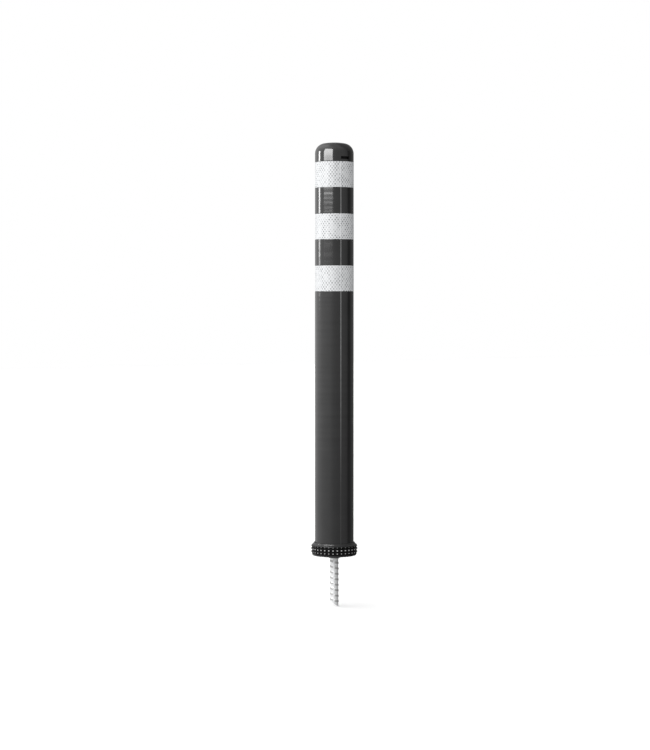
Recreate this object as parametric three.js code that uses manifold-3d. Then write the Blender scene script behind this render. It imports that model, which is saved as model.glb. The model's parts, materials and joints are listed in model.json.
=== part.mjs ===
// Flexible, self-righting and removable bollard post with a screwed collar and a ground anchor.
// Millimetres, +Z up. The origin is on the post's axis, at the pavement that the base disc rests on.
import * as THREE from 'three';
import { mergeVertices } from 'three/addons/utils/BufferGeometryUtils.js';
import Module from 'manifold-3d';

const wasm = await Module();
wasm.setup();

// ---- Driving dimensions ----------------------------------------------------------------------
const GAP = 0.3;                     // clearance between neighbouring pieces
const SIDES = 32;                    // facets round the large turned pieces
const SMALL_SIDES = 12;              // facets round pins, rivets and their holes

const POST_R = 37.5;                 // 75 mm post
const POST_TOP = 800;
const WALL = 7;
const BORE_R = POST_R - WALL;
const CORE_R = BORE_R - GAP;         // outside of everything that fits the bore

const BAND = 50;                     // height of a reflective band, and of the space between two
const BAND_COUNT = 3;
const BAND_THICK = 0.5;
const CAP_JOIN = 762;                // where the cap meets the tube and the top band ends
const RECESS_R = POST_R - BAND_THICK - GAP;

const CAP_CORNER = 20;               // radius that rounds the cap's skirt into its crown
const CAP_CORNER_Z = 778.5;
const CAP_SPIGOT_BOTTOM = 735.3;
const CAP_WALL_R = 26;
const CAP_RIVET_Z = 743;
const CAP_SEAL_Z = 753;
const SLOT = { width: 18, height: 5.2, depth: 3.5, z: 768.8 };

const DISC_R = 39.7;                 // base disc and foot flange, under the collar
const DISC_TOP = 12;
const BOSS = { r: 16, bottom: -5.9, shoulder: -3.1, tipR: 9.2 };
const PIN = { r: 2.5, bottom: 5.3, top: 17, circleR: 34, count: 3 };
const FLANGE = { bottom: 13.6, top: 17.6 };
const FOOT_RIVET_Z = 22.2;
const RIVET = { shankR: 2, headR: 3 };
const FOOT_RIVET_COUNT = 4;
const FOOT_TOP = 38;
const NUT_SPACE = { r: 20, top: 33 };

const COLLAR = { bottom: 0.3, top: 25.8, lipR: 38.2, boreR: 40.5, lipBottom: 19.6 };
const SHOULDER = [[44.2, 19.9], [44, 20.6], [40.9, 23], [40.5, 24.3], [38.9, 25.8]];   // stepped
const GRIP = { seatR: 41.7, rootR: 43.2, bottom: 3.8, top: 19.2, columns: 34 };
const STUD_ROWS = [{ z: 7.2, tipR: 44.7 }, { z: 13.2, tipR: 45.3 }];
const STUD_HALF = 3;                 // half a stud's height

const BAR_R = 7.7;                   // 16 mm ribbed anchor bar
const BAR_RIB_R = 8.5;
const BAR_RIB_PITCH = 10.6;
const BAR_RIBS = 8;
const BAR_LENGTH = 95;               // below the pavement, at the middle of its slanted end
const BAR_TOP = 31;
const BAR_SLANT = 32;                // degrees
const BAR_SLANT_TOWARDS = -34;       // degrees about Z from +X to the longer side of the tip

const HOOP_Z = 100;                  // middle of the bending foot, halfway between its two springs
const HOOP_HALF = 6;
const SLEEVE_BOTTOM = 18;
const SLEEVE_TOP = 170;
const SPRING = { r: 22, wireR: 2.5, turns: 6, stepsPerTurn: 12, bottom: 44.3, top: 96.7 };
const SEAT = { r: 26, bottom: 38.3, top: 44, bossR: 18.5, bossTop: 50, recessR: 9, recessZ: 43 };
const BOLT = { r: 4, headAcross: 13, headHeight: 5.5, bottom: 33.6 };
const PLUG_TOP = 190;

// ---- Materials -------------------------------------------------------------------------------
function finish(colour, roughness, metalness = 0) {
  return new THREE.MeshStandardMaterial({ color: colour, roughness, metalness });
}

const POST_BLACK = finish(0x17181a, 0.32);
const CAP_BLACK = finish(0x1a1b1d, 0.28);
const COLLAR_BLACK = finish(0x1d1e20, 0.35);
const GRIP_RUBBER = finish(0x101113, 0.55);
const MOULDED_BLACK = finish(0x202124, 0.5);
const SEAL_RUBBER = finish(0x141414, 0.7);
const TAPE_WHITE = finish(0xe9ebec, 0.35);
const GALVANISED = finish(0xa9adb0, 0.45, 0.8);
const STEEL = finish(0x8a8d90, 0.35, 0.9);

// ---- Geometry helpers ------------------------------------------------------------------------
// A solid of revolution about Z. An outline is a list of [radius, z]; it goes anticlockwise and
// either starts and ends on the axis or is closed here.
function turned(outline, sides = SIDES) {
  const onAxis = outline[0][0] === 0;
  const closed = onAxis ? outline : [...outline, outline[0]];
  const points = closed.map(([r, z]) => new THREE.Vector2(r, z));
  return new THREE.LatheGeometry(points, sides).rotateX(Math.PI / 2);
}

// Points along an arc in an outline, from one angle to another, in degrees.
function arc(centreR, centreZ, radius, from, to, steps) {
  const points = [];
  for (let i = 0; i <= steps; i += 1) {
    const angle = THREE.MathUtils.degToRad(from + ((to - from) * i) / steps);
    points.push([centreR + radius * Math.cos(angle), centreZ + radius * Math.sin(angle)]);
  }
  return points;
}

// The same outline on the other side of the hoop's middle plane.
function aboveHoop(outline) {
  return outline.map(([r, z]) => [r, 2 * HOOP_Z - z]).reverse();
}

function ringOutline(innerR, outerR, bottom, top) {
  return [[innerR, bottom], [outerR, bottom], [outerR, top], [innerR, top]];
}

function rod(radius, bottom, top, sides = SMALL_SIDES) {
  return turned([[0, bottom], [radius, bottom], [radius, top], [0, top]], sides);
}

// Turns a shape built along Z so that Z points outwards, at an angle round the post and a height.
function radial(geometry, angle, z) {
  return geometry.rotateY(Math.PI / 2).rotateZ(angle).translate(0, 0, z);
}

function toManifold(geometry) {
  const bare = geometry.clone();
  bare.deleteAttribute('normal');
  bare.deleteAttribute('uv');
  const merged = mergeVertices(bare, 1e-4);
  const index = merged.getIndex().array;
  const triangles = [];
  for (let i = 0; i < index.length; i += 3) {
    const [a, b, c] = [index[i], index[i + 1], index[i + 2]];
    if (a !== b && b !== c && c !== a) triangles.push(a, b, c);
  }
  const vertProperties = new Float32Array(merged.getAttribute('position').array);
  const triVerts = new Uint32Array(triangles);
  return new wasm.Manifold(new wasm.Mesh({ numProp: 3, vertProperties, triVerts }));
}

function fromManifold(solid) {
  const mesh = solid.getMesh();
  const geometry = new THREE.BufferGeometry();
  geometry.setAttribute('position', new THREE.BufferAttribute(mesh.vertProperties, 3));
  geometry.setIndex(new THREE.BufferAttribute(mesh.triVerts, 1));
  geometry.computeVertexNormals();
  return geometry;
}

function cut(geometry, tools) {
  let solid = toManifold(geometry);
  for (const tool of tools) solid = solid.subtract(toManifold(tool));
  return fromManifold(solid);
}

function evenAngles(count, start = 0) {
  return Array.from({ length: count }, (_, i) => start + (2 * Math.PI * i) / count);
}

function hexagon(across) {
  const cornerR = across / Math.sqrt(3);
  const corners = evenAngles(6).map(
    (angle) => new THREE.Vector2(cornerR * Math.cos(angle), cornerR * Math.sin(angle)),
  );
  return new THREE.Shape(corners);
}

const post = new THREE.Group();

function add(name, geometry, material) {
  const mesh = new THREE.Mesh(geometry, material);
  mesh.name = name;
  post.add(mesh);
  return mesh;
}

// ---- Ground anchor ---------------------------------------------------------------------------
function anchorBar() {
  const outline = [[0, -BAR_LENGTH - 20], [BAR_R, -BAR_LENGTH - 20]];
  for (let rib = 0; rib < BAR_RIBS; rib += 1) {
    const z = -BAR_LENGTH + 8 + rib * BAR_RIB_PITCH;
    outline.push([BAR_R, z - 1.8], [BAR_RIB_R, z - 0.5], [BAR_RIB_R, z + 0.5], [BAR_R, z + 1.8]);
  }
  outline.push([BAR_R, BAR_TOP - 1], [BAR_R - 1, BAR_TOP], [0, BAR_TOP]);
  const below = new THREE.BoxGeometry(80, 80, 60).translate(0, 0, -30);
  below.rotateY(THREE.MathUtils.degToRad(BAR_SLANT));
  below.rotateZ(THREE.MathUtils.degToRad(BAR_SLANT_TOWARDS));
  below.translate(0, 0, -BAR_LENGTH);
  return cut(turned(outline, 16), [below]);
}

function pinHoles(bottom, top) {
  return evenAngles(PIN.count, Math.PI / 2).map((angle) => rod(PIN.r + GAP, bottom, top)
    .translate(PIN.circleR * Math.cos(angle), PIN.circleR * Math.sin(angle), 0));
}

function baseDisc() {
  const boreR = BAR_R + GAP;
  const outline = [
    [boreR, BOSS.bottom],
    [BOSS.tipR, BOSS.bottom],
    [BOSS.r, BOSS.shoulder],
    [BOSS.r, 0],
    [DISC_R, 0],
    [DISC_R, DISC_TOP],
    [boreR, DISC_TOP],
  ];
  return cut(turned(outline), pinHoles(PIN.bottom - GAP, DISC_TOP + 1));
}

function anchorNut(bottom, height) {
  const shape = hexagon(24);
  shape.holes.push(new THREE.Path().absarc(0, 0, BAR_R + GAP, 0, 2 * Math.PI, true));
  const options = { depth: height, bevelEnabled: false, curveSegments: 8 };
  return new THREE.ExtrudeGeometry(shape, options).translate(0, 0, bottom);
}

function addAnchor() {
  const washerTop = DISC_TOP + GAP + 3;
  add('anchor_bar', anchorBar(), GALVANISED);
  add('base_disc', baseDisc(), MOULDED_BLACK);
  add('base_washer', turned(ringOutline(8.5, 15, DISC_TOP + GAP, washerTop), 16), STEEL);
  add('anchor_nut', anchorNut(washerTop + GAP, 13), STEEL);
  add('base_gasket', turned(ringOutline(22, 30.5, DISC_TOP + GAP, FLANGE.bottom - GAP)), SEAL_RUBBER);
  evenAngles(PIN.count, Math.PI / 2).forEach((angle, i) => {
    const pin = add(`locating_pin_${i + 1}`, rod(PIN.r, PIN.bottom, PIN.top), STEEL);
    pin.position.set(PIN.circleR * Math.cos(angle), PIN.circleR * Math.sin(angle), 0);
  });
}

// ---- Foot: the part of the post that stays upright, held down by the collar -------------------
function footRivetAngles() {
  return evenAngles(FOOT_RIVET_COUNT, Math.PI / 4);
}

// A rivet along Z: a shank between two radii of the post and a flat head outside it.
function rivet(innerR, headR, outerR) {
  const outline = [
    [0, innerR], [RIVET.shankR, innerR], [RIVET.shankR, headR],
    [RIVET.headR, headR], [RIVET.headR, outerR], [0, outerR],
  ];
  return turned(outline, SMALL_SIDES);
}

function rivetHole(innerR, headR, outerR) {
  const [shankR, sinkR] = [RIVET.shankR + GAP, RIVET.headR + GAP];
  const outline = [
    [0, innerR], [shankR, innerR], [shankR, headR], [sinkR, headR], [sinkR, outerR], [0, outerR],
  ];
  return turned(outline, SMALL_SIDES);
}

function footPlug() {
  const outline = [
    [BOLT.r + GAP, NUT_SPACE.top],
    [NUT_SPACE.r, NUT_SPACE.top],
    [NUT_SPACE.r, FLANGE.bottom],
    [DISC_R, FLANGE.bottom],
    [DISC_R, FLANGE.top],
    [CORE_R, FLANGE.top],
    [CORE_R, FOOT_TOP],
    [BOLT.r + GAP, FOOT_TOP],
  ];
  const rivetHoles = footRivetAngles().map(
    (angle) => radial(rivetHole(23, 50, 60), angle, FOOT_RIVET_Z),
  );
  return cut(turned(outline), [...pinHoles(FLANGE.bottom - 1, FLANGE.top + 1), ...rivetHoles]);
}

function lowerSleeve() {
  const outline = ringOutline(BORE_R, POST_R, SLEEVE_BOTTOM, HOOP_Z - GAP / 2);
  const rivetHoles = footRivetAngles().map(
    (angle) => radial(rivetHole(25, 35.2, 40), angle, FOOT_RIVET_Z),
  );
  return cut(turned(outline), rivetHoles);
}

function springSeatOutline() {
  return [
    [BOLT.r + GAP, SEAT.bottom],
    [SEAT.r, SEAT.bottom],
    [SEAT.r, SEAT.top],
    [SEAT.bossR, SEAT.top],
    [SEAT.bossR, SEAT.bossTop],
    [SEAT.recessR, SEAT.bossTop],
    [SEAT.recessR, SEAT.recessZ],
    [BOLT.r + GAP, SEAT.recessZ],
  ];
}

// A hexagon bolt whose head rests on z = 0, with its shank below.
function seatBolt() {
  const head = new THREE.ExtrudeGeometry(hexagon(BOLT.headAcross), {
    depth: BOLT.headHeight,
    bevelEnabled: false,
  });
  const shank = rod(BOLT.r, BOLT.bottom - SEAT.recessZ - GAP, 1);
  return fromManifold(toManifold(head).add(toManifold(shank)));
}

class Helix extends THREE.Curve {
  constructor(radius, bottom, top, turns) {
    super();
    Object.assign(this, { radius, bottom, top, turns });
  }

  getPoint(t, target = new THREE.Vector3()) {
    const angle = 2 * Math.PI * this.turns * t;
    const z = this.bottom + (this.top - this.bottom) * t;
    return target.set(this.radius * Math.cos(angle), this.radius * Math.sin(angle), z);
  }
}

// A close-coiled spring between its seat and the hoop, built for the lower of the two.
function spring() {
  const bottom = SPRING.bottom + SPRING.wireR;
  const top = SPRING.top - SPRING.wireR;
  const wire = new THREE.Shape().absarc(0, 0, SPRING.wireR, 0, 2 * Math.PI);
  return new THREE.ExtrudeGeometry(wire, {
    extrudePath: new Helix(SPRING.r, bottom, top, SPRING.turns),
    steps: SPRING.turns * SPRING.stepsPerTurn,
    curveSegments: 3,
  });
}

function addFoot() {
  add('foot_plug', footPlug(), MOULDED_BLACK);
  add('lower_sleeve', lowerSleeve(), POST_BLACK);
  add('lower_spring_seat', turned(springSeatOutline()), STEEL);
  add('lower_seat_bolt', seatBolt(), STEEL).position.z = SEAT.recessZ + GAP;
  add('lower_spring', spring(), STEEL);
  footRivetAngles().forEach((angle, i) => {
    add(`foot_rivet_${i + 1}`, radial(rivet(25, 35.5, 37.1), angle, FOOT_RIVET_Z), STEEL);
  });
}

// ---- Collar: screws onto the base disc and clamps the foot flange ----------------------------
function collarRing() {
  const outline = [
    [COLLAR.boreR, COLLAR.bottom],
    [COLLAR.boreR + 1.9, COLLAR.bottom],
    [GRIP.rootR, GRIP.bottom - GAP - 1.2],
    [GRIP.rootR, GRIP.bottom - GAP],
    [GRIP.seatR, GRIP.bottom - GAP],
    [GRIP.seatR, GRIP.top + GAP],
    ...SHOULDER,
    [COLLAR.lipR, COLLAR.top - 0.8],
    [COLLAR.lipR, COLLAR.lipBottom],
    [COLLAR.boreR, COLLAR.lipBottom],
  ];
  return turned(outline);
}

// A rubber ring whose outside is rows of pyramids: every second column of each row stands out.
function gripBand() {
  const innerR = GRIP.seatR + GAP;
  const outline = [[innerR, GRIP.bottom], [GRIP.rootR, GRIP.bottom]];
  for (const { z } of STUD_ROWS) {
    outline.push([GRIP.rootR, z - STUD_HALF], [GRIP.rootR, z]);
  }
  outline.push([GRIP.rootR, STUD_ROWS[1].z + STUD_HALF], [GRIP.rootR, GRIP.top], [innerR, GRIP.top]);
  const band = turned(outline, 2 * GRIP.columns);
  const position = band.getAttribute('position');
  const step = Math.PI / GRIP.columns;
  for (let i = 0; i < position.count; i += 1) {
    const [x, y, z] = [position.getX(i), position.getY(i), position.getZ(i)];
    const column = Math.round(Math.atan2(x, -y) / step);
    const row = STUD_ROWS.find((studs) => Math.abs(z - studs.z) < 0.01);
    if (row && column % 2 !== 0) {
      const grow = row.tipR / Math.hypot(x, y);
      position.setXY(i, x * grow, y * grow);
    }
  }
  return band;
}

function addCollar() {
  const slipOutline = ringOutline(COLLAR.lipR, COLLAR.boreR - GAP, FLANGE.top + GAP,
    COLLAR.lipBottom - GAP);
  add('slip_ring', turned(slipOutline), MOULDED_BLACK);
  add('collar_ring', collarRing(), COLLAR_BLACK);
  add('grip_band', gripBand(), GRIP_RUBBER);
}

// ---- Middle of the bending foot ---------------------------------------------------------------
function hoop() {
  const outline = [
    [14, HOOP_Z - 3],
    [27, HOOP_Z - 3],
    [27, HOOP_Z - HOOP_HALF],
    [CORE_R, HOOP_Z - HOOP_HALF],
    [CORE_R, HOOP_Z + HOOP_HALF],
    [27, HOOP_Z + HOOP_HALF],
    [27, HOOP_Z + 3],
    [14, HOOP_Z + 3],
  ];
  return turned(outline);
}

function addMiddle() {
  const sleeveOutline = ringOutline(BORE_R, POST_R, HOOP_Z + GAP / 2, SLEEVE_TOP - GAP / 2);
  add('anti_kink_hoop', hoop(), MOULDED_BLACK);
  add('upper_sleeve', turned(sleeveOutline), POST_BLACK);
  const upper = add('upper_spring', spring(), STEEL);
  upper.rotation.x = Math.PI;
  upper.position.z = 2 * HOOP_Z;
}

// ---- Post --------------------------------------------------------------------------------------
function bandBottom(number) {
  return CAP_JOIN - BAND - 2 * BAND * number;
}

function postTube() {
  const outline = [[BORE_R, SLEEVE_TOP + GAP / 2], [POST_R, SLEEVE_TOP + GAP / 2]];
  for (let number = BAND_COUNT - 1; number >= 0; number -= 1) {
    const bottom = bandBottom(number);
    outline.push([POST_R, bottom], [RECESS_R, bottom], [RECESS_R, bottom + BAND]);
    if (number > 0) outline.push([POST_R, bottom + BAND]);
  }
  outline.push([BORE_R, CAP_JOIN]);
  const holes = evenAngles(3, Math.PI / 2).map(
    (angle) => radial(rivetHole(25, 34.4, 45), angle, CAP_RIVET_Z),
  );
  return cut(turned(outline), holes);
}

function capCrown() {
  const cornerR = POST_R - CAP_CORNER;
  const drop = POST_TOP - CAP_CORNER_Z;
  // The crown's radius that meets the corner arc tangentially and tops out at POST_TOP.
  const crownR = (cornerR ** 2 + drop ** 2 - CAP_CORNER ** 2) / (2 * (drop - CAP_CORNER));
  const centreZ = POST_TOP - crownR;
  const meeting = THREE.MathUtils.radToDeg(Math.atan2(CAP_CORNER_Z - centreZ, cornerR));
  const corner = arc(cornerR, CAP_CORNER_Z, CAP_CORNER, 0, meeting, 6);
  const crown = arc(0, centreZ, crownR, meeting, 90, 3).slice(1, -1);
  return [...corner, ...crown, [0, POST_TOP]];
}

function domeCap() {
  const outline = [
    [0, POST_TOP - 8],
    [20, POST_TOP - 12],
    [CAP_WALL_R, CAP_CORNER_Z],
    [CAP_WALL_R, CAP_SPIGOT_BOTTOM],
    [CORE_R, CAP_SPIGOT_BOTTOM],
    [CORE_R, CAP_SEAL_Z - 1.5],
    [28, CAP_SEAL_Z - 1.5],
    [28, CAP_SEAL_Z + 1.5],
    [CORE_R, CAP_SEAL_Z + 1.5],
    [CORE_R, CAP_JOIN + GAP],
    [POST_R, CAP_JOIN + GAP],
    ...capCrown(),
  ];
  const slot = new THREE.BoxGeometry(SLOT.width, 2 * SLOT.depth, SLOT.height)
    .translate(0, -POST_R, SLOT.z);
  const holes = evenAngles(3, Math.PI / 2).map(
    (angle) => radial(rivetHole(20, 50, 60), angle, CAP_RIVET_Z),
  );
  return cut(turned(outline), [slot, ...holes]);
}

function upperPlug() {
  const crown = 2 * HOOP_Z - NUT_SPACE.top;
  const outline = [
    [BOLT.r + GAP, 2 * HOOP_Z - FOOT_TOP],
    [CORE_R, 2 * HOOP_Z - FOOT_TOP],
    [CORE_R, PLUG_TOP],
    [NUT_SPACE.r, PLUG_TOP],
    [NUT_SPACE.r, crown],
    [BOLT.r + GAP, crown],
  ];
  return turned(outline);
}

function addPost() {
  add('upper_spring_seat', turned(aboveHoop(springSeatOutline())), STEEL);
  const bolt = add('upper_seat_bolt', seatBolt(), STEEL);
  bolt.rotation.x = Math.PI;
  bolt.position.z = 2 * HOOP_Z - SEAT.recessZ - GAP;
  add('upper_plug', upperPlug(), MOULDED_BLACK);
  add('post_tube', postTube(), POST_BLACK);
  const coreOutline = ringOutline(CORE_R - 2.5, CORE_R, PLUG_TOP + GAP, CAP_SPIGOT_BOTTOM - GAP);
  add('core_tube', turned(coreOutline), MOULDED_BLACK);
  ['top', 'middle', 'bottom'].forEach((place, number) => {
    const bottom = bandBottom(number) + GAP;
    const outline = ringOutline(POST_R - BAND_THICK, POST_R, bottom, bottom + BAND - 2 * GAP);
    add(`reflective_band_${place}`, turned(outline), TAPE_WHITE);
  });
  add('dome_cap', domeCap(), CAP_BLACK);
  add('cap_seal', turned(arc(29.3, CAP_SEAL_Z, 1, 0, 300, 5)), SEAL_RUBBER);
  evenAngles(3, Math.PI / 2).forEach((angle, i) => {
    add(`cap_rivet_${i + 1}`, radial(rivet(24.5, 34.7, 36.4), angle, CAP_RIVET_Z), STEEL);
  });
}

addAnchor();
addFoot();
addCollar();
addMiddle();
addPost();

export default post;
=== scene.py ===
"""Looks of the flexible bollard post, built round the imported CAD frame. Metres, +Z up."""
import json
import math

import bmesh
import bpy
import numpy as np
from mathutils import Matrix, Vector


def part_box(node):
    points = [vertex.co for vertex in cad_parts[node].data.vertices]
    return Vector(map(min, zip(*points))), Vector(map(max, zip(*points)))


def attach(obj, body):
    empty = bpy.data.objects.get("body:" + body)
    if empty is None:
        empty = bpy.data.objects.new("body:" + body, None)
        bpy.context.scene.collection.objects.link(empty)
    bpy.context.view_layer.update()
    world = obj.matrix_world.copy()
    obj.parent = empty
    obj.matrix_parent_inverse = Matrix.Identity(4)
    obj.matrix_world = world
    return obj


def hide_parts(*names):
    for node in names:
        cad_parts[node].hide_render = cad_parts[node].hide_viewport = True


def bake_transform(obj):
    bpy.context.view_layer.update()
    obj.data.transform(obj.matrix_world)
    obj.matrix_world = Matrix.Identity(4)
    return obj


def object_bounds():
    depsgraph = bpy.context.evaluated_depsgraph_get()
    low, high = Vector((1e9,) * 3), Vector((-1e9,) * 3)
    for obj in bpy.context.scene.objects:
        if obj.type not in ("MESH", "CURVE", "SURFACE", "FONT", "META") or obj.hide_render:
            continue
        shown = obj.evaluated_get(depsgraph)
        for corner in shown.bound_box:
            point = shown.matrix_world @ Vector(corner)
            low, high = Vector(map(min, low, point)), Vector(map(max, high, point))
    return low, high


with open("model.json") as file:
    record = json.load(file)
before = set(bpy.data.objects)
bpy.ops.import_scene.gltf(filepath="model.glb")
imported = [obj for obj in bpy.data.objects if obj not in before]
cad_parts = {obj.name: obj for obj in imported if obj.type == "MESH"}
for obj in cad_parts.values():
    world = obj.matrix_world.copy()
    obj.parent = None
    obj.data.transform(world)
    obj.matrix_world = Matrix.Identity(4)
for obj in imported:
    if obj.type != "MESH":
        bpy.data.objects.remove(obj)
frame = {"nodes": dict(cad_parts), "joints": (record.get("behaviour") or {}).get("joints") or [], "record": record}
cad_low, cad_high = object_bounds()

MM = 0.001
SIDES = 144                                    # facets round a large turned piece
SMOOTH_ANGLE = math.radians(32)
GAP = 0.3 * MM                                 # clearance the CAD keeps between pieces
ON_AXIS = 1e-9                                 # a point nearer to the axis than this is on it

# ---- Places and sizes read from the frame -----------------------------------------------------


def bottom_of(node):
    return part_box(node)[0].z


def top_of(node):
    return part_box(node)[1].z


def radius_of(node):
    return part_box(node)[1].x


BANDS = ("reflective_band_top", "reflective_band_middle", "reflective_band_bottom")
JOINTS = {joint["name"]: joint for joint in frame["joints"]}
POST_R = radius_of("post_tube")
CORE_R = radius_of("core_tube")
BORE_R = CORE_R + GAP
RECESS_R = POST_R - 0.8 * MM
CAP_JOIN = top_of("post_tube")
CAP_TOP = top_of("dome_cap")
HOOP_Z = (bottom_of("anti_kink_hoop") + top_of("anti_kink_hoop")) / 2
SLEEVE_BOTTOM = bottom_of("lower_sleeve")
SLEEVE_TOP = (top_of("upper_sleeve") + bottom_of("post_tube")) / 2
LEAN_Z = {name: JOINTS[name]["pos_m"][2] for name in ("lean_side", "lean_front")}
ROOT_Z = bottom_of("base_disc")
GRIP_TIP = radius_of("grip_band")
GRIP_ROOT = GRIP_TIP - 2.1 * MM
BAR_CREST = 8.5 * MM                           # ribs of the anchor bar, and the bar between them
BAR_CORE = 7.8 * MM
SLOT_Z = CAP_TOP - 31.2 * MM                   # recess in the cap's skirt
SLOT_HEIGHT = 5.2 * MM
SLOT_WIDTH = 18 * MM
SLOT_DEPTH = 3.5 * MM

# ---- Viewpoint --------------------------------------------------------------------------------
VIEW_AZIMUTH = math.radians(-34)               # how far round from the front the camera stands
VIEW_DISTANCE = 3.706
EYE_HEIGHT = 0.494
AIM_RIGHT = -0.0181                            # where the lens points, beside and up the axis
AIM_HEIGHT = 0.4222
LENS = 91.7                                    # focal length in millimetres on a 36 mm sensor
SHIFT_UP = -0.0497                             # lens shift, as a share of the longer side
TOWARDS_CAMERA = Vector((math.sin(VIEW_AZIMUTH), -math.cos(VIEW_AZIMUTH), 0))
CAMERA_RIGHT = Vector((math.cos(VIEW_AZIMUTH), math.sin(VIEW_AZIMUTH), 0))

SLOT_ANGLE = math.radians(270)                 # middle of the cap's slot
SEAM_ANGLE = math.radians(255.6)               # moulding seam down the tube
LAP_ANGLE = math.radians(95)                   # where each tape laps over its own start

# ---- Mesh building ----------------------------------------------------------------------------


def arc(centre_r, centre_z, radius, start, end, steps):
    """Points along an arc in an outline, between two angles in degrees."""
    angles = np.radians(np.linspace(start, end, steps + 1))
    return [(centre_r + radius * math.cos(a), centre_z + radius * math.sin(a)) for a in angles]


def filleted(outline, radius, steps=3, turn=25, sharp_z=None):
    """The outline with each corner sharper than turn degrees rounded.

    Ends on the axis stay, and so do corners at the height sharp_z. An extra point on each side
    of a rounded corner keeps the shading of the flat next to it flat.
    """
    points = [Vector(p) for p in outline]
    on_axis = points[0].x < ON_AXIS
    result = []
    for i, corner in enumerate(points):
        before = points[i - 1] - corner
        after = points[(i + 1) % len(points)] - corner
        stays = on_axis and i in (0, len(points) - 1) or corner.y == sharp_z
        if stays or math.degrees(math.pi - before.angle(after)) < turn:
            result.append(tuple(corner))
            continue
        cut = min(radius, 0.45 * before.length, 0.45 * after.length)
        start = corner + before.normalized() * cut
        end = corner + after.normalized() * cut
        result.append(tuple(start + before.normalized() * min(cut, 0.04 * before.length)))
        for t in np.linspace(0, 1, steps + 1):
            result.append(tuple((1 - t) ** 2 * start + 2 * t * (1 - t) * corner + t ** 2 * end))
        result.append(tuple(end + after.normalized() * min(cut, 0.04 * after.length)))
    return result


def divided(outline, step):
    """The outline with its long straight stretches divided into lengths of at most step."""
    closed = outline[0][0] > ON_AXIS
    result = []
    for i, point in enumerate(outline):
        result.append(point)
        if i == len(outline) - 1 and not closed:
            break
        start, end = Vector(point), Vector(outline[(i + 1) % len(outline)])
        pieces = max(1, math.ceil((end - start).length / step))
        result.extend(tuple(start.lerp(end, k / pieces)) for k in range(1, pieces))
    return result


def ring(inner, outer, bottom, top):
    """Outline of a plain ring."""
    return [(inner, bottom), (outer, bottom), (outer, top), (inner, top)]


def even_angles(sides=SIDES):
    return np.linspace(0, 2 * math.pi, sides, endpoint=False)


def angles_with(places, half_width, count, sides=SIDES):
    """Even angles with the stretch round each given place divided more finely."""
    angles = even_angles(sides)
    for spot in places:
        away = np.abs((angles - spot + math.pi) % (2 * math.pi) - math.pi)
        angles = angles[away > half_width]
        angles = np.append(angles, spot + np.linspace(-half_width, half_width, count))
    return np.sort(angles % (2 * math.pi))


def make_object(name, vertices, faces, material):
    mesh = bpy.data.meshes.new(name)
    mesh.from_pydata(vertices, [], faces)
    mesh.validate()
    mesh.polygons.foreach_set("use_smooth", [True] * len(mesh.polygons))
    mesh.set_sharp_from_angle(angle=SMOOTH_ANGLE)
    mesh.materials.append(material)
    obj = bpy.data.objects.new(name, mesh)
    bpy.context.scene.collection.objects.link(obj)
    return obj


def faces_round(outline, starts, count):
    """Faces of a solid of revolution. starts gives the first vertex of each outline point."""
    rows = list(zip(range(len(outline)), range(1, len(outline))))
    if outline[0][0] >= ON_AXIS:
        rows.append((len(outline) - 1, 0))
    faces = []
    for lower, upper in rows:
        a, b = starts[lower], starts[upper]
        for i in range(count):
            j = (i + 1) % count
            if outline[lower][0] < ON_AXIS:
                faces.append((a, b + j, b + i))
            elif outline[upper][0] < ON_AXIS:
                faces.append((a + i, a + j, b))
            else:
                faces.append((a + i, a + j, b + j, b + i))
    return faces


def revolved(name, outline, material, angles=None, shape=None):
    """A closed solid of revolution about Z from an anticlockwise outline of (radius, z).

    The outline ends on the axis or closes on itself. shape(r, z, angle) gives a point's final
    radius and z, as arrays over the angles.
    """
    angles = even_angles() if angles is None else angles
    count = len(angles)
    vertices, starts = [], []
    for r, z in outline:
        starts.append(len(vertices))
        if r < ON_AXIS:
            vertices.append((0, 0, z))
            continue
        radii, heights = np.full(count, r), np.full(count, z)
        if shape:
            radii, heights = shape(radii, heights, angles)
        vertices.extend(zip(radii * np.cos(angles), radii * np.sin(angles), heights))
    return make_object(name, vertices, faces_round(outline, starts, count), material)


def place(piece, body, slot, *nodes):
    """Lets a piece ride on a body, in place of CAD nodes. slot is not used."""
    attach(piece, body)
    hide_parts(*nodes)
    return piece


def bend(piece, bodies, low, high, slot, *nodes):
    """Bakes the piece's placement into its mesh, in place of CAD nodes. bodies, low, high and slot are not used.
    """
    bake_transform(piece)
    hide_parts(*nodes)
    return piece


# ---- Materials --------------------------------------------------------------------------------


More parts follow.
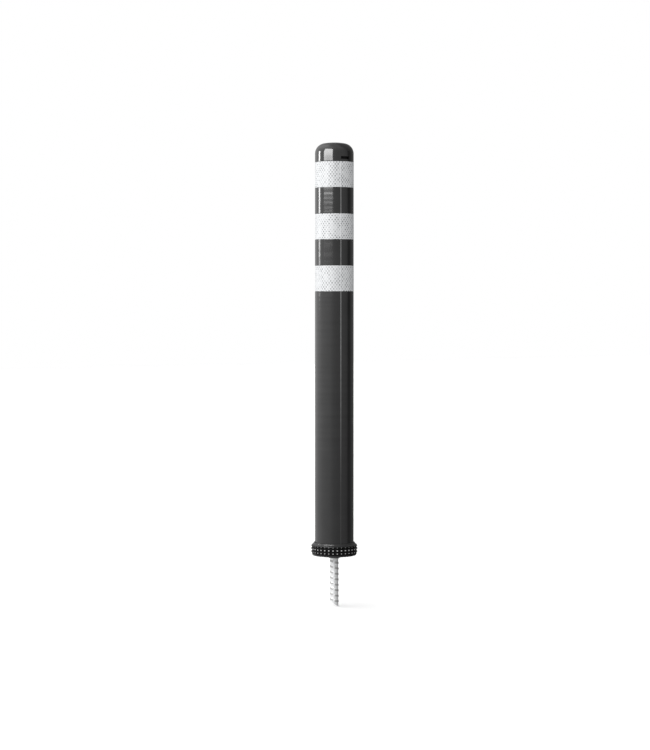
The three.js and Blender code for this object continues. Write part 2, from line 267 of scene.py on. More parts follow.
class Shader:
    """Short calls for building one procedural material."""

    def __init__(self, name, colour, roughness, metallic=0.0):
        self.material = bpy.data.materials.new(name)
        self.material.use_nodes = True
        self.tree = self.material.node_tree
        self.principled = self.tree.nodes["Principled BSDF"]
        self.principled.inputs["Base Color"].default_value = (*colour, 1)
        self.principled.inputs["Roughness"].default_value = roughness
        self.principled.inputs["Metallic"].default_value = metallic
        self.coordinates = self.tree.nodes.new("ShaderNodeTexCoord").outputs["Object"]

    def link(self, value, socket):
        if isinstance(value, bpy.types.NodeSocket):
            self.tree.links.new(value, socket)
        else:
            socket.default_value = value

    def math(self, operation, *values):
        node = self.tree.nodes.new("ShaderNodeMath")
        node.operation = operation
        for value, socket in zip(values, node.inputs):
            self.link(value, socket)
        return node.outputs[0]

    def stretched(self, x, y, z):
        node = self.tree.nodes.new("ShaderNodeMapping")
        node.inputs["Scale"].default_value = (x, y, z)
        self.link(self.coordinates, node.inputs["Vector"])
        return node.outputs[0]

    def noise(self, scale, detail=2.0, vector=None):
        node = self.tree.nodes.new("ShaderNodeTexNoise")
        node.inputs["Scale"].default_value = scale
        node.inputs["Detail"].default_value = detail
        self.link(vector or self.coordinates, node.inputs["Vector"])
        return node.outputs["Fac"]

    def cells(self, scale):
        node = self.tree.nodes.new("ShaderNodeTexVoronoi")
        node.inputs["Scale"].default_value = scale
        self.link(self.coordinates, node.inputs["Vector"])
        return node.outputs["Color"]

    def ranged(self, value, low, high, to_low, to_high, smooth=False):
        node = self.tree.nodes.new("ShaderNodeMapRange")
        if smooth:
            node.interpolation_type = "SMOOTHSTEP"
        for name, given in (("Value", value), ("From Min", low), ("From Max", high),
                            ("To Min", to_low), ("To Max", to_high)):
            self.link(given, node.inputs[name])
        return node.outputs[0]

    def mixed(self, factor, first, second):
        node = self.tree.nodes.new("ShaderNodeMix")
        node.data_type = "RGBA"
        self.link(factor, node.inputs[0])
        self.link(first if isinstance(first, bpy.types.NodeSocket) else (*first, 1),
                  node.inputs[6])
        self.link(second if isinstance(second, bpy.types.NodeSocket) else (*second, 1),
                  node.inputs[7])
        return node.outputs[2]

    def bump(self, height, distance, strength=1.0, after=None):
        node = self.tree.nodes.new("ShaderNodeBump")
        node.inputs["Strength"].default_value = strength
        node.inputs["Distance"].default_value = distance
        self.link(height, node.inputs["Height"])
        if after:
            self.link(after, node.inputs["Normal"])
        return node.outputs[0]

    def set(self, name, value):
        self.link(value, self.principled.inputs[name])


def moulded_black(name, colour, roughness, ripple=0.0, grain=0.01 * MM, seam=False,
                  pocket=False, shine=0.5):
    """Moulded plastic: cloudy gloss, fine grain, ripples from the mould.

    The tube has a pale line along its seam as well, and the cap's pocket has painted shade
    that dulls its reflections. shine is the strength of the reflections.
    """
    shader = Shader(name, colour, roughness)
    shader.set("Specular IOR Level", shine)
    lighter = tuple(c * 1.5 + 0.002 for c in colour)
    cloud = shader.ranged(shader.noise(28, 4), 0.35, 0.75, 0, 1)
    tone = shader.mixed(cloud, colour, lighter)
    if seam:
        tone = shader.mixed(seam_mark(shader), tone, (0.3, 0.3, 0.3))
    if pocket:
        # painted shade: reflections are dulled on the faces inside the cap's slot
        shader.set("Specular IOR Level", shader.ranged(pocket_shade_mask(shader), 0, 1, 0.5, 0.03))
    shader.set("Base Color", tone)
    smear = shader.noise(9, 5, shader.stretched(3, 3, 0.6))
    shader.set("Roughness", shader.ranged(smear, 0.3, 0.7, roughness * 0.86, roughness * 1.16))
    normal = shader.bump(shader.noise(2600, 2), grain)
    if ripple:
        rings = shader.noise(1, 0.5, shader.stretched(4, 4, 115))
        normal = shader.bump(rings, ripple, after=normal)
    shader.set("Normal", normal)
    return shader.material


def tube_coordinates(shader, radius):
    """Distance round the tube and height, as two sockets in metres."""
    split = shader.tree.nodes.new("ShaderNodeSeparateXYZ")
    shader.link(shader.coordinates, split.inputs[0])
    x, y, z = split.outputs
    around = shader.math("MULTIPLY", shader.math("ARCTAN2", y, x), radius)
    return around, z


def axis_distance(shader):
    """Distance from the post's axis, as a socket in metres."""
    flat = shader.tree.nodes.new("ShaderNodeVectorMath")
    flat.operation = "LENGTH"
    shader.link(shader.stretched(1, 1, 0), flat.inputs[0])
    return flat.outputs["Value"]


def seam_mark(shader):
    """How strongly the pale line of the moulding seam shows: it fades towards the foot."""
    around, height = tube_coordinates(shader, POST_R)
    seam_at = (SEAM_ANGLE - 2 * math.pi) * POST_R
    across = shader.math("ABSOLUTE", shader.math("SUBTRACT", around, seam_at))
    line = shader.ranged(across, 0.3 * MM, 0.9 * MM, 1, 0, smooth=True)
    fade = shader.ranged(height, 0.12, 0.42, 0.12, 1)
    paler_share = shader.ranged(shader.noise(1, 3, shader.stretched(1, 1, 90)), 0.3, 0.7, 0.7, 1)
    return shader.math("MULTIPLY", line, shader.math("MULTIPLY", fade, paler_share))


def pocket_shade_mask(shader):
    """One on the cap's faces that lie behind its skirt, below the top of the slot."""
    height = tube_coordinates(shader, POST_R)[1]
    behind = shader.ranged(axis_distance(shader), POST_R - 0.8 * MM, POST_R - 0.4 * MM, 1, 0)
    top = SLOT_Z + SLOT_HEIGHT / 2
    below = shader.ranged(height, top, top + 0.2 * MM, 1, 0)
    return shader.math("MULTIPLY", behind, below)


def lattice(shader, around, height, pitch, rise, shift):
    """Distance to the nearest point of a grid, shifted by a share of its pitch and rise."""
    offsets = []
    for value, spacing in ((around, pitch), (height, rise)):
        turns = shader.math("ADD", shader.math("DIVIDE", value, spacing), 100 + shift)
        offset = shader.math("SUBTRACT", shader.math("FRACT", turns), 0.5)
        offsets.append(shader.math("MULTIPLY", offset, spacing))
    squares = [shader.math("MULTIPLY", offset, offset) for offset in offsets]
    return shader.math("SQRT", shader.math("ADD", *squares))


TAPE_COLUMNS = 40                              # columns of cells round the tube
TAPE_RISE = 7.6 * MM                           # height of two rows of cells


def reflective_tape():
    """White encapsulated-lens sheeting: a staggered grid of grey cells with pale cell walls."""
    shader = Shader("reflective_tape", (0.55, 0.56, 0.57), 0.55)
    around, height = tube_coordinates(shader, POST_R)
    pitch = 2 * math.pi * POST_R / TAPE_COLUMNS
    first = lattice(shader, around, height, pitch, TAPE_RISE, 0)
    second = lattice(shader, around, height, pitch, TAPE_RISE, 0.5)
    nearest = shader.math("MINIMUM", first, second)
    cell = shader.ranged(nearest, 0.9 * MM, 1.8 * MM, 1, 0, smooth=True)
    wall = shader.ranged(nearest, 2.4 * MM, 2.8 * MM, 0, 1, smooth=True)
    patchy = shader.ranged(shader.noise(130, 2), 0.4, 0.6, 0.1, 1.0)
    base = shader.mixed(wall, (0.61, 0.62, 0.63), (0.75, 0.76, 0.77))
    dotted = shader.mixed(shader.math("MULTIPLY", cell, patchy), base, (0.14, 0.15, 0.155))
    line = shader.math("MULTIPLY", seam_mark(shader), 0.4)
    shader.set("Base Color", shader.mixed(line, dotted, (0.8, 0.81, 0.82)))
    shader.set("Roughness", shader.ranged(shader.noise(60, 3), 0.3, 0.7, 0.5, 0.6))
    relief = shader.bump(wall, 0.05 * MM, 0.6)
    shader.set("Normal", shader.bump(shader.noise(900, 2), 0.01 * MM, after=relief))
    return shader.material


def galvanised(core, crest):
    """Hot-dip zinc: dull spangle, with painted shade darkening the ribs."""
    shader = Shader("galvanised", (0.4, 0.41, 0.42), 0.42, 0.4)
    spangle = shader.math("MULTIPLY", shader.cells(420), 0.5)
    tone = shader.math("ADD", spangle, shader.noise(90, 4))
    spangled = shader.ranged(tone, 0.4, 1.0, 0, 1)
    zinc = shader.mixed(spangled, (0.57, 0.575, 0.58), (0.69, 0.695, 0.7))
    third = (crest - core) / 3
    # painted shade: the ribs are coloured darker in place of the shading on their flanks
    rib_painted_shade = shader.ranged(axis_distance(shader), core + third, crest, 0, 1, smooth=True)
    shader.set("Base Color", shader.mixed(rib_painted_shade, zinc, (0.33, 0.33, 0.325)))
    shader.set("Roughness", shader.ranged(shader.noise(300, 3), 0.3, 0.7, 0.34, 0.55))
    shader.set("Normal", shader.bump(shader.noise(1400, 3), 0.05 * MM))
    return shader.material


def plated_steel(name, colour, roughness):
    """Turned or pressed steel with fine machining marks round the axis."""
    shader = Shader(name, colour, roughness, 0.95)
    marks = shader.noise(1, 2, shader.stretched(60, 60, 5200))
    shader.set("Roughness", shader.ranged(marks, 0.3, 0.7, roughness * 0.8, roughness * 1.3))
    cloud = shader.noise(140, 4)
    duller = tuple(c * 0.72 for c in colour)
    shader.set("Base Color", shader.mixed(shader.ranged(cloud, 0.35, 0.7, 0, 1), colour, duller))
    shader.set("Normal", shader.bump(marks, 0.01 * MM, 0.7))
    return shader.material


def rubber(name, colour, roughness, highlight_from=None, highlight_to=None):
    """Matt rubber with a little bloom, painted paler between two distances from the axis as a highlight on the
    stud tips.
    """
    shader = Shader(name, colour, roughness)
    shader.set("Specular IOR Level", 0.06)
    bloom = shader.noise(45, 5)
    paler = tuple(c * 2.2 + 0.001 for c in colour)
    tone = shader.mixed(shader.ranged(bloom, 0.4, 0.8, 0, 1), colour, paler)
    # painted highlight: the stud tips are coloured paler in place of the light they catch
    if highlight_to:
        paler_share = shader.ranged(axis_distance(shader), highlight_from, highlight_to, 0, 1, smooth=True)
        tone = shader.mixed(paler_share, tone, (0.5, 0.5, 0.5))
    shader.set("Base Color", tone)
    shader.set("Roughness", shader.ranged(bloom, 0.3, 0.7, roughness * 0.9, roughness * 1.15))
    shader.set("Normal", shader.bump(shader.noise(3000, 2), 0.02 * MM))
    return shader.material


def pale_floor():
    """A nearly white floor that glows a little, so that shadows on it stay faint."""
    shader = Shader("pale_floor", (0.96, 0.96, 0.96), 0.9)
    shader.set("Emission Color", (1, 1, 1, 1))
    shader.set("Emission Strength", 0.06)
    tone = shader.ranged(shader.noise(3, 3), 0.3, 0.7, 0, 1)
    shader.set("Base Color", shader.mixed(tone, (0.97, 0.97, 0.97), (0.99, 0.99, 0.99)))
    return shader.material


POST_BLACK = moulded_black("post_black", (0.006, 0.006, 0.0062), 0.13, ripple=0.22 * MM,
                           seam=True)
CAP_BLACK = moulded_black("cap_black", (0.006, 0.006, 0.0062), 0.1, pocket=True)
COLLAR_BLACK = moulded_black("collar_black", (0.013, 0.013, 0.0133), 0.24, shine=0.27)
MOULDED_BLACK = moulded_black("moulded_black", (0.02, 0.02, 0.021), 0.5, grain=0.03 * MM)
ACETAL = moulded_black("acetal", (0.55, 0.54, 0.5), 0.45)
TAPE = reflective_tape()
GALVANISED = galvanised(BAR_CORE, BAR_CREST)
PLATED = plated_steel("plated_steel", (0.55, 0.56, 0.57), 0.3)
SPRING_STEEL = plated_steel("spring_steel", (0.3, 0.31, 0.32), 0.35)
# the grip's stud tips carry a painted highlight
GRIP_RUBBER = rubber("grip_rubber", (0.0015, 0.0015, 0.0016), 0.45, GRIP_ROOT + 1.3 * MM,
                     GRIP_ROOT + 1.9 * MM)
SEAL_RUBBER = rubber("seal_rubber", (0.01, 0.01, 0.01), 0.6)

# ---- Camera -----------------------------------------------------------------------------------


def make_camera():
    camera = bpy.data.objects.new("camera", bpy.data.cameras.new("camera"))
    bpy.context.scene.collection.objects.link(camera)
    camera.location = TOWARDS_CAMERA * VIEW_DISTANCE + Vector((0, 0, EYE_HEIGHT))
    target = CAMERA_RIGHT * AIM_RIGHT + Vector((0, 0, AIM_HEIGHT))
    camera.rotation_mode = "QUATERNION"
    camera.rotation_quaternion = (target - camera.location).to_track_quat("-Z", "Y")
    camera.data.lens = LENS
    camera.data.shift_y = SHIFT_UP
    camera.data.clip_end = 100
    bpy.context.scene.camera = camera


# ---- Tube, its bending foot and its tapes -----------------------------------------------------


def seam_height(z):
    """How far the moulding seam stands out: it wears thin towards the foot."""
    share = np.clip((z - SLEEVE_BOTTOM) / (CAP_JOIN - SLEEVE_BOTTOM), 0, 1)
    uneven = 1 + 0.22 * np.sin(z * 310) * np.sin(z * 127 + 1.3)
    return (0.12 + 0.3 * share) * MM * uneven


def with_seam(outside_from):
    """A shape that raises the seam on every point further out than outside_from."""
    def shape(r, z, angle):
        across = (angle - SEAM_ANGLE) * POST_R
        rise = seam_height(z) * np.exp(-((across / (0.9 * MM)) ** 2))
        return np.where(r > outside_from, r + rise, r), z
    return shape


def seam_angles():
    return angles_with([SEAM_ANGLE], 2.4 * MM / POST_R, 17)


def recess(node):
    """Outline points of the shallow recess that a band sits in, from its lower edge up."""
    low, high = bottom_of(node) - GAP, top_of(node) + GAP
    if high > CAP_JOIN - MM:
        return [(POST_R, low), (RECESS_R, low), (RECESS_R, CAP_JOIN)]
    return [(POST_R, low), (RECESS_R, low), (RECESS_R, high), (POST_R, high)]


def make_tube():
    outline = [(BORE_R, SLEEVE_TOP), (POST_R, SLEEVE_TOP)]
    for node in reversed(BANDS):
        outline.extend(recess(node))
    outline.append((BORE_R, CAP_JOIN))
    outline = divided(filleted(outline, 0.25 * MM, steps=2, sharp_z=SLEEVE_TOP), 6 * MM)
    tube = revolved("tube", outline, POST_BLACK, seam_angles(), with_seam(RECESS_R - MM))
    place(tube, "post", "post_black", "post_tube")


def make_stretch(name, bodies, low, bend_from, high, node):
    outline = divided(ring(BORE_R, POST_R, low, high), 1.2 * MM)
    piece = revolved(name, outline, POST_BLACK, seam_angles(), with_seam(RECESS_R))
    bend(piece, bodies, bend_from, high, "post_black", node)


def make_bending_foot():
    """The tube's lower end, in two stretches that meet at the hoop."""
    foot_end = 2 * LEAN_Z["lean_side"] - HOOP_Z
    make_stretch("tube_foot_lower", ("foot", "mid"), SLEEVE_BOTTOM, foot_end, HOOP_Z,
                 "lower_sleeve")
    make_stretch("tube_foot_upper", ("mid", "post"), HOOP_Z, HOOP_Z, SLEEVE_TOP, "upper_sleeve")


def make_bands():
    """White sheeting in each recess. It follows the seam, and laps over its own start."""
    lap = 12 * MM / POST_R
    seam = with_seam(0)

    def shape(r, z, angle):
        r, z = seam(r, z, angle)
        past = (angle - LAP_ANGLE) % (2 * math.pi)
        outer = r > POST_R - 0.3 * MM
        return np.where(outer & (past < lap), r + 0.12 * MM, r), z

    places = [SEAM_ANGLE, LAP_ANGLE, LAP_ANGLE + lap]
    angles = angles_with(places, 2.4 * MM / POST_R, 17)
    for node in BANDS:
        outline = ring(POST_R - 0.5 * MM, POST_R, bottom_of(node), top_of(node))
        outline = divided(filleted(outline, 0.12 * MM, steps=2), 6 * MM)
        band = revolved(node.replace("reflective_band", "tape"), outline, TAPE, angles, shape)
        place(band, "post", "reflective_tape", node)


# ---- Dome cap ---------------------------------------------------------------------------------


def cap_outline():
    corner, corner_z = 20 * MM, CAP_TOP - 21.5 * MM
    corner_r, drop = POST_R - corner, CAP_TOP - corner_z
    crown_r = (corner_r ** 2 + drop ** 2 - corner ** 2) / (2 * (drop - corner))
    crown_z = CAP_TOP - crown_r
    meeting = math.degrees(math.atan2(corner_z - crown_z, corner_r))
    wall_r, spigot, seal_z = 26 * MM, bottom_of("dome_cap"), top_of("cap_seal") - 0.87 * MM
    skirt = CAP_JOIN + GAP
    inside = [
        (0, CAP_TOP - 8 * MM),
        (20 * MM, CAP_TOP - 12 * MM),
        (wall_r, corner_z),
        (wall_r, spigot),
        (CORE_R, spigot),
        (CORE_R, seal_z - 1.5 * MM),
        (28 * MM, seal_z - 1.5 * MM),
        (28 * MM, seal_z + 1.5 * MM),
        (CORE_R, seal_z + 1.5 * MM),
        (CORE_R, skirt),
        (POST_R, skirt),
    ]
    edge = filleted([*inside, (POST_R, corner_z)], 0.4 * MM)[:-1]
    slot = [(POST_R, SLOT_Z - SLOT_HEIGHT / 2), (POST_R, SLOT_Z + SLOT_HEIGHT / 2)]
    corner_arc = arc(corner_r, corner_z, corner, 0, meeting, 24)
    crown_arc = arc(0, crown_z, crown_r, meeting, 90, 10)[1:-1]
    return [*edge, *slot, *corner_arc, *crown_arc, (0, CAP_TOP)]


def make_cap():
    half = math.asin(SLOT_WIDTH / 2 / POST_R)
    angles = angles_with([SLOT_ANGLE], half, 25)
    cap = revolved("cap", cap_outline(), CAP_BLACK, angles)
    cut_slot(cap, half)
    place(cap, "post", "cap_black", "dome_cap")


def cut_slot(cap, half):
    """Presses the faces between the slot's edges inwards, and rounds the edges that this makes."""
    mesh = bmesh.new()
    mesh.from_mesh(cap.data)
    faces = []
    for face in mesh.faces:
        middle = face.calc_center_median()
        away = (math.atan2(middle.y, middle.x) - SLOT_ANGLE) % (2 * math.pi)
        away = min(away, 2 * math.pi - away)
        near = abs(middle.z - SLOT_Z) < SLOT_HEIGHT / 2
        if near and away < half and math.hypot(middle.x, middle.y) > POST_R - MM:
            faces.append(face)
    made = bmesh.ops.extrude_face_region(mesh, geom=faces)["geom"]
    bmesh.ops.delete(mesh, geom=[f for f in faces if f.is_valid], context="FACES")
    for vertex in (v for v in made if isinstance(v, bmesh.types.BMVert)):
        vertex.co.y += SLOT_DEPTH
    sharp = [e for e in mesh.edges if e.is_manifold and abs(e.calc_face_angle()) > 0.9
             and max(v.co.z for v in e.verts) > CAP_JOIN + MM]
    bmesh.ops.bevel(mesh, geom=sharp, offset=0.25 * MM, segments=2, affect="EDGES",
                    clamp_overlap=True)
    mesh.to_mesh(cap.data)
    mesh.free()
    cap.data.polygons.foreach_set("use_smooth", [True] * len(cap.data.polygons))
    cap.data.set_sharp_from_angle(angle=SMOOTH_ANGLE)


# ---- Collar -----------------------------------------------------------------------------------


def make_collar_ring():
    low, high = bottom_of("collar_ring"), top_of("collar_ring")
    grip_low, grip_high = bottom_of("grip_band") - GAP, top_of("grip_band") + GAP
    bore, lip, seat = 40.5 * MM, 38.2 * MM, 41.7 * MM
    under_lip = 19.6 * MM
    outline = [
        (bore, low),
        (bore + 1.9 * MM, low),
        (GRIP_ROOT, grip_low - 1.2 * MM),
        (GRIP_ROOT, grip_low),
        (seat, grip_low),
        (seat, grip_high),
        (44.2 * MM, high - 5.9 * MM),
        (44 * MM, high - 5.2 * MM),
        (40.9 * MM, high - 2.8 * MM),
        (40.5 * MM, high - 1.5 * MM),
        (38.9 * MM, high),
        (lip, high - 0.8 * MM),
        (lip, under_lip),
        (bore, under_lip),
    ]
    ring_piece = revolved("collar", filleted(outline, 0.6 * MM, turn=15), COLLAR_BLACK)
    place(ring_piece, "collar", "collar_black", "collar_ring")


STUD_COLUMNS = 34
STUD_PITCH = 6 * MM
# Each row of studs: how far its middle is below the grip's top, and how far it stands out.
STUD_ROWS = ((12 * MM, 1.85 * MM), (6 * MM, 2.1 * MM), (0.2 * MM, 1.7 * MM))


def stud_height(z, angle):
    """How far each point of the grip stands out of its root: three rows of blunt pyramids."""
    high = top_of("grip_band")
    column = np.abs((angle * STUD_COLUMNS / (2 * math.pi) + 0.5) % 1 - 0.5) * 2
    height = np.zeros_like(angle)
    for depth, tallest in STUD_ROWS:
        across = np.maximum(column, np.abs(z - (high - depth)) / (STUD_PITCH / 2))
        height = np.maximum(height, np.clip(1.2 - across * 1.45, 0, 1) * tallest)
    return height


def make_grip():
    """A rubber band with two rows of pyramid studs and a partial one under the shoulder."""
    low, high = bottom_of("grip_band"), top_of("grip_band")
    inside = 42 * MM
    outline = divided(ring(inside, GRIP_ROOT, low, high), 0.4 * MM)

    def shape(r, z, angle):
        return np.where(r > GRIP_ROOT - 0.2 * MM, r + stud_height(z, angle), r), z

    grip = revolved("grip", outline, GRIP_RUBBER, even_angles(STUD_COLUMNS * 16), shape)
    place(grip, "collar", "grip_rubber", "grip_band")


# ---- Ground anchor ----------------------------------------------------------------------------
RIB_PITCH = 10.6 * MM
RIB_SLOPE = 0.16
RIB_SIDE = math.radians(228)                   # where one of the two lengthways ribs runs
BAR_SLANT = math.tan(math.radians(32))         # slope of the bar's cut end
BAR_THREAD = 2 * MM                            # pitch of the thread at the bar's top
BAR_THREAD_FROM = 14 * MM
BASE_THREAD = 3 * MM                           # pitch of the thread that the collar turns on


def rib_height(z, angle):
    """Crescent ribs on both sides of the bar, with a plain rib between the sides."""
    side = (angle - RIB_SIDE) % (2 * math.pi)
    half = side % math.pi
    offset = np.where(side < math.pi, 0, RIB_PITCH / 2)
    turns = (z - offset + RIB_SLOPE * (half - math.pi / 2) * 8 * MM) / RIB_PITCH
    near = np.abs(turns % 1 - 0.5) * RIB_PITCH
    crest = np.clip(2.4 - near / MM, 0, 1)
    crescent = np.clip(np.sin(half) * 3.5, 0, 1)
    lengthways = np.clip(1.3 - np.minimum(half, math.pi - half) / 0.11, 0, 1)
    return np.maximum(crest * crescent, lengthways * 0.3) * (BAR_CREST - BAR_CORE)


def make_bar():
    """A ribbed bar with a slanted end, smooth in the disc's bore and threaded above it."""
    low, high = bottom_of("anchor_bar"), top_of("anchor_bar")
    tip_z = low + BAR_SLANT * BAR_CORE
    rows = np.linspace(0, 1, 420)
    outline = [(0, low), *((BAR_CORE, low + (high - low) * t) for t in rows), (0, high)]

    def shape(r, z, angle):
        share = (z - low) / (high - low)
        sideways = r * np.cos(angle - VIEW_AZIMUTH)
        tip = tip_z - BAR_SLANT * sideways
        height = tip + share * (high - tip)
        ribbed = r + rib_height(height, angle)
        threaded = r - 0.35 * MM * (1 + np.cos(2 * math.pi * height / BAR_THREAD - angle))
        smooth = np.where(height > ROOT_Z - MM, r, ribbed)
        return np.where(height > BAR_THREAD_FROM, threaded, smooth), height

    bar = revolved("bar", outline, GALVANISED, even_angles(96), shape)
    for vertex in bar.data.vertices:
        if vertex.co.xy.length < ON_AXIS and vertex.co.z < 0:
            vertex.co.z = tip_z
    place(bar, "anchor", "galvanised_bar", "anchor_bar")


def make_base():
    """The disc on the bar: a boss tapering down to the bar, and a thread for the collar."""
    radius, high = radius_of("base_disc"), top_of("base_disc")
    bore, boss = 8 * MM, 16 * MM
    outline = [
        (bore, ROOT_Z),
        (bore + 1.2 * MM, ROOT_Z),
        (boss, ROOT_Z + 2.8 * MM),
        (boss, 0),
        (radius - 1.2 * MM, 0),
        (radius, 1.2 * MM),
        (radius, high - MM),
        (radius - MM, high),
        (bore, high),
    ]

    def thread(r, z, angle):
        wave = np.cos(2 * math.pi * z / BASE_THREAD - angle)
        return np.where(r > radius - 0.1 * MM, r - 0.5 * MM * (1 - wave), r), z

    outline = divided(filleted(outline, 0.5 * MM), 0.5 * MM)
    disc = revolved("base", outline, MOULDED_BLACK, even_angles(192), thread)
    place(disc, "anchor", "moulded_black", "base_disc")


# ---- Springs ----------------------------------------------------------------------------------
WIRE_R = 2.5 * MM
COIL_R = 22 * MM
COIL_TURNS = 6


def coil(low, high, flip):
    """Vertices and faces of a coil of round wire between two heights. flip is its hand, 1 or -1."""
    steps, sides = COIL_TURNS * 48, 16
    vertices = []
    for k in range(steps + 1):
        turn = flip * 2 * math.pi * COIL_TURNS * k / steps
        outwards = Vector((math.cos(turn), math.sin(turn), 0))
        centre = outwards * COIL_R + Vector((0, 0, low + (high - low) * k / steps))
        for side in range(sides):
            a = 2 * math.pi * side / sides
            across = outwards * math.cos(a) + Vector((0, 0, math.sin(a)))
            vertices.append(centre + WIRE_R * across)
    faces = []
    for k in range(steps):
        for side in range(sides):
            a, b = k * sides + side, k * sides + (side + 1) % sides
            faces.append((a, b, b + sides, a + sides))
    faces.append(tuple(range(sides)))
    faces.append(tuple(steps * sides + side for side in range(sides)))
    return vertices, faces


def make_spring(name, node, bodies, lean_z, flip):
    """A coil between its seats."""
    low, high = bottom_of(node) + WIRE_R, top_of(node) - WIRE_R
    piece = make_object(name, *coil(low, high, flip), SPRING_STEEL)
    mesh = bmesh.new()
    mesh.from_mesh(piece.data)
    bmesh.ops.recalc_face_normals(mesh, faces=mesh.faces)
    mesh.to_mesh(piece.data)
    mesh.free()
    reach = (high - low) / 2
    bend(piece, bodies, lean_z - reach, lean_z + reach, "spring_steel", node)


# ---- Pieces inside that keep their CAD shape ---------------------------------------------------
CAD_MATERIALS = {
    "moulded_black": MOULDED_BLACK,
    "plated_steel": PLATED,
    "slip_plastic": ACETAL,
    "seal_rubber": SEAL_RUBBER,
}


def finish_cad_nodes():
    slots = {s["node"]: s["material_slot"] for s in frame["record"]["subparts"]}
    for name, node in frame["nodes"].items():
        if node.hide_render:
            continue
        material = CAD_MATERIALS[slots[name]]
        if not node.material_slots:
            node.data.materials.append(material)
        for slot in node.material_slots:
            slot.material = material


# ---- Floor and light ---------------------------------------------------------------------------


def plane(name, centre, across, up, material):
    """A rectangle given by its centre and its two half sides."""
    corners = [centre - across - up, centre + across - up, centre + across + up,
               centre - across + up]
    return make_object(name, corners, [(0, 1, 2, 3)], material)


def make_floor():
    low = cad_low.z - MM
    floor = plane("floor", Vector((0, 0, low)), Vector((12, 0, 0)), Vector((0, 12, 0)),
                  pale_floor())
    floor.visible_glossy = floor.visible_diffuse = False


def beside(angle, distance, height):
    """A point round the post from the camera's side, to the right for a positive angle."""
    a = math.radians(angle)
    flat = TOWARDS_CAMERA * math.cos(a) + CAMERA_RIGHT * math.sin(a)
    return flat * distance + Vector((0, 0, height))


def make_flag():
    """A dark card on the post's right, seen only in reflections."""
    card = bpy.data.materials.new("flag_black")
    card.use_nodes = True
    dark = card.node_tree.nodes["Principled BSDF"]
    dark.inputs["Base Color"].default_value = (0.13, 0.13, 0.13, 1)
    dark.inputs["Specular IOR Level"].default_value = 0
    flag = plane("flag", beside(98, 1.2, 0.4), beside(188, 0.255, 0), Vector((0, 0, 0.8)), card)
    flag.visible_camera = flag.visible_diffuse = flag.visible_shadow = False


def level_ramp(tree, value, levels):
    """A brightness for each value, read off pairs of (value, level), and the highest level."""
    (first, _), (last, _) = levels[0], levels[-1]
    peak = max(level for _, level in levels)
    share = tree.nodes.new("ShaderNodeMapRange")
    share.inputs["From Min"].default_value = first
    share.inputs["From Max"].default_value = last
    tree.links.new(value, share.inputs["Value"])
    ramp = tree.nodes.new("ShaderNodeValToRGB")
    tree.links.new(share.outputs[0], ramp.inputs[0])
    stops = ramp.color_ramp.elements
    stops.remove(stops[-1])
    for number, (point, level) in enumerate(levels):
        position = (point - first) / (last - first)
        stop = stops[0] if number == 0 else stops.new(position)
        stop.position = position
        stop.color = (level / peak, level / peak, level / peak, 1)
    return ramp.outputs[0], peak


def lamp_material(name, levels):
    """A glow added to whatever is behind it. levels pairs a height with the glow there."""
    lamp = bpy.data.materials.new(name)
    lamp.use_nodes = True
    tree = lamp.node_tree
    tree.nodes.clear()
    split = tree.nodes.new("ShaderNodeSeparateXYZ")
    tree.links.new(tree.nodes.new("ShaderNodeTexCoord").outputs["Object"], split.inputs[0])
    glow, peak = level_ramp(tree, split.outputs["Z"], levels)
    emission = tree.nodes.new("ShaderNodeEmission")
    tree.links.new(glow, emission.inputs["Color"])
    emission.inputs["Strength"].default_value = peak
    both = tree.nodes.new("ShaderNodeAddShader")
    tree.links.new(emission.outputs[0], both.inputs[0])
    tree.links.new(tree.nodes.new("ShaderNodeBsdfTransparent").outputs[0], both.inputs[1])
    output = tree.nodes.new("ShaderNodeOutputMaterial")
    tree.links.new(both.outputs[0], output.inputs["Surface"])
    return lamp


def make_panel(name, angle, distance, width, levels):
    """An upright lamp seen only in reflections, as high as its levels say."""
    low, high = levels[0][0], levels[-1][0]
    across = beside(angle + 90, width / 2, 0)
    panel = plane(name, beside(angle, distance, (low + high) / 2), across,
                  Vector((0, 0, (high - low) / 2)), lamp_material(name, levels))
    panel.visible_camera = panel.visible_diffuse = panel.visible_shadow = False


# Brightness of the studio round the post: degrees right of the camera, and the level there.
SURROUND = ((-180, 0.4), (-158, 0.6), (-138, 1.3), (-116, 1.6), (-96, 1.9), (-80, 1.8),
            (-58, 1.65), (-26, 1.4), (-6, 1.03), (17, 0.87), (54, 0.82), (76, 0.62), (90, 0.36),
            (138, 0.28), (160, 0.22), (180, 0.4))
# By how much that changes with the height of the direction looked in, from straight down to up.
UPWARDS = ((-1, 0.75), (-0.1, 0.75), (-0.01, 1), (0.4, 1), (0.9, 1.45), (1, 1.45))
# Straight up SURROUND is this even level. It sets in where the direction's height passes the other.
OVERHEAD = 0.75
OVERHEAD_FROM = 0.9
# Brightness of each lamp by height in metres.
SOFTBOX = ((0.6, 0), (0.66, 0.12), (0.79, 0.55), (0.88, 1.3), (0.94, 14), (2.8, 14))
STRIP = ((0.5, 0), (0.6, 6), (0.64, 9), (0.75, 15), (0.9, 18), (1.25, 18))


def along(tree, axis):
    """How far the direction looked in points along an axis, from -1 to 1."""
    node = tree.nodes.new("ShaderNodeVectorMath")
    node.operation = "DOT_PRODUCT"
    tree.links.new(tree.nodes.new("ShaderNodeTexCoord").outputs["Generated"], node.inputs[0])
    node.inputs[1].default_value = axis
    return node.outputs["Value"]


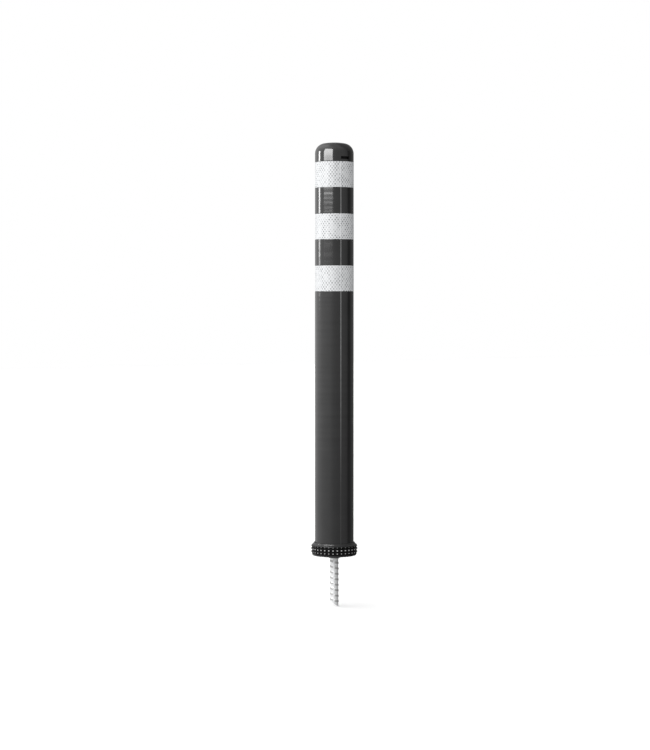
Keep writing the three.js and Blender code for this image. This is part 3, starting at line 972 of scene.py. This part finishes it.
def studio_level(tree):
    """The studio's brightness in each direction, as a share of the highest, and the highest."""
    new, link = tree.nodes.new, tree.links.new
    angle = new("ShaderNodeMath")
    angle.operation = "ARCTAN2"
    link(along(tree, CAMERA_RIGHT), angle.inputs[0])
    link(along(tree, TOWARDS_CAMERA), angle.inputs[1])
    levels = [(math.radians(degrees), level) for degrees, level in SURROUND]
    sides, side_peak = level_ramp(tree, angle.outputs[0], levels)
    height = along(tree, (0, 0, 1))
    lift, lift_peak = level_ramp(tree, height, UPWARDS)
    overhead = new("ShaderNodeMapRange")
    overhead.interpolation_type = "SMOOTHSTEP"
    overhead.inputs["From Min"].default_value = OVERHEAD_FROM
    link(height, overhead.inputs["Value"])
    even = new("ShaderNodeMix")
    even.inputs["B"].default_value = OVERHEAD / side_peak
    link(overhead.outputs[0], even.inputs["Factor"])
    link(sides, even.inputs["A"])
    both = new("ShaderNodeMath")
    both.operation = "MULTIPLY"
    link(even.outputs[0], both.inputs[0])
    link(lift, both.inputs[1])
    return both.outputs[0], side_peak * lift_peak


def make_world():
    """A white backdrop for the camera, and the studio for everything else."""
    world = bpy.data.worlds.new("studio")
    bpy.context.scene.world = world
    world.use_nodes = True
    tree = world.node_tree
    new, link = tree.nodes.new, tree.links.new
    tree.nodes.clear()
    level, peak = studio_level(tree)
    studio, backdrop = new("ShaderNodeBackground"), new("ShaderNodeBackground")
    link(level, studio.inputs["Color"])
    studio.inputs["Strength"].default_value = peak
    backdrop.inputs["Color"].default_value = (1, 1, 1, 1)
    choice, output = new("ShaderNodeMixShader"), new("ShaderNodeOutputWorld")
    link(new("ShaderNodeLightPath").outputs["Is Camera Ray"], choice.inputs[0])
    link(studio.outputs[0], choice.inputs[1])
    link(backdrop.outputs[0], choice.inputs[2])
    link(choice.outputs[0], output.inputs["Surface"])


def make_studio():
    bpy.context.scene.view_settings.view_transform = "Standard"
    make_floor()
    make_flag()
    make_world()
    make_panel("softbox", -37, 2.2, 2.24, SOFTBOX)
    make_panel("strip", -99, 1.5, 0.3, STRIP)


make_camera()
make_tube()
make_bending_foot()
make_bands()
make_cap()
make_collar_ring()
make_grip()
make_bar()
make_base()
make_spring("spring_lower", "lower_spring", ("foot", "mid"), LEAN_Z["lean_side"], 1)
make_spring("spring_upper", "upper_spring", ("mid", "post"), LEAN_Z["lean_front"], -1)
finish_cad_nodes()
make_studio()
